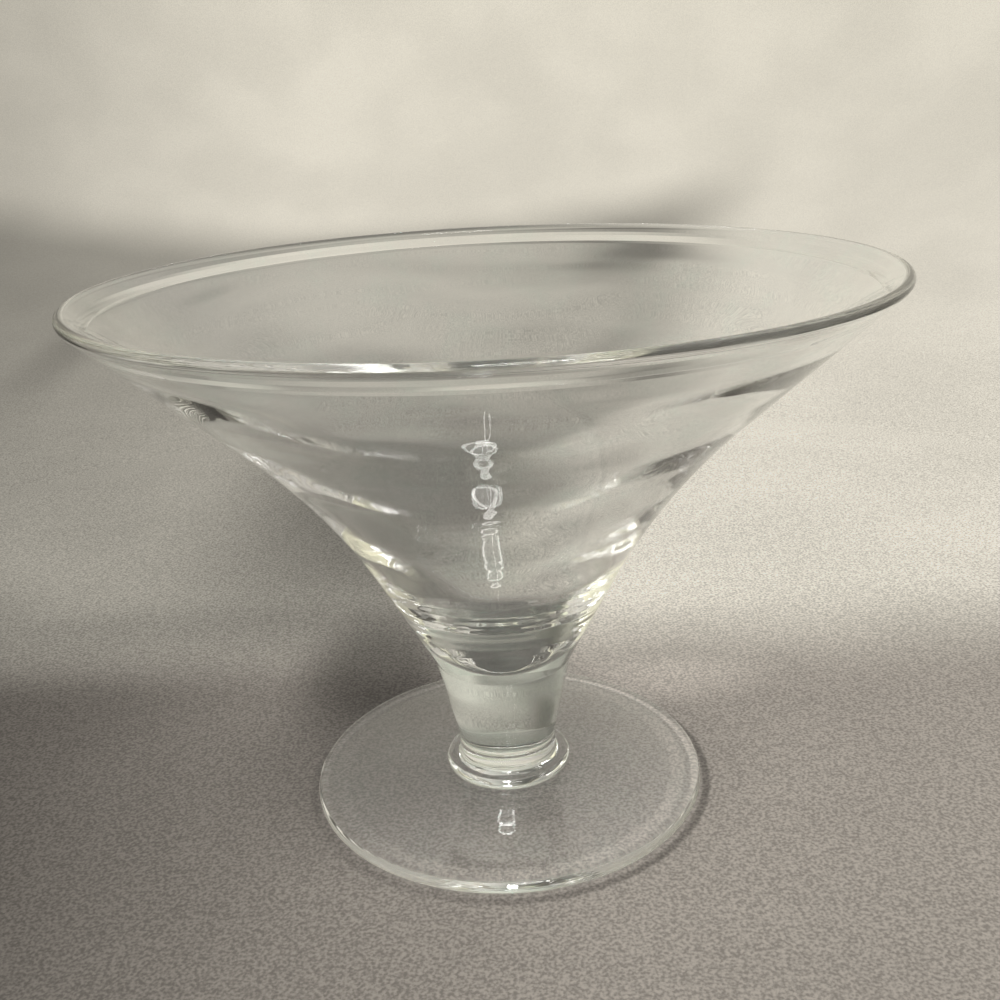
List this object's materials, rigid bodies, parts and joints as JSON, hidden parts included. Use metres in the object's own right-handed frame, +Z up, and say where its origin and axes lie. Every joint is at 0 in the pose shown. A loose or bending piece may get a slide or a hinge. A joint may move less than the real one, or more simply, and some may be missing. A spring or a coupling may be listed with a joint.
{
  "type": "blown glass footed bowl",
  "caption": "Clear blown glass bowl with a wide flare, a solid tapered stem, a low collar and a flat disc foot.",
  "frame": {"origin": "middle of the foot's resting ring, on the surface that the bowl stands on", "axes": "+Z up along the axis that every piece is turned about; the piece is the same all round, so +X and +Y are any two level directions"},
  "size_m": [0.28, 0.28, 0.2],
  "materials": {
    "bowl_glass": "fire-polished clear glass with a faint grey-green cast and soft ripples left by the blowing",
    "stem_glass": "fire-polished solid clear glass with a faint grey-green cast",
    "foot_glass": "fire-polished clear glass, ground at the pontil spot underneath"
  },
  "bodies": {
    "root": {"bowl": "bowl_glass", "stem": "stem_glass", "collar": "stem_glass", "foot": "foot_glass"}
  },
  "joints": []
}
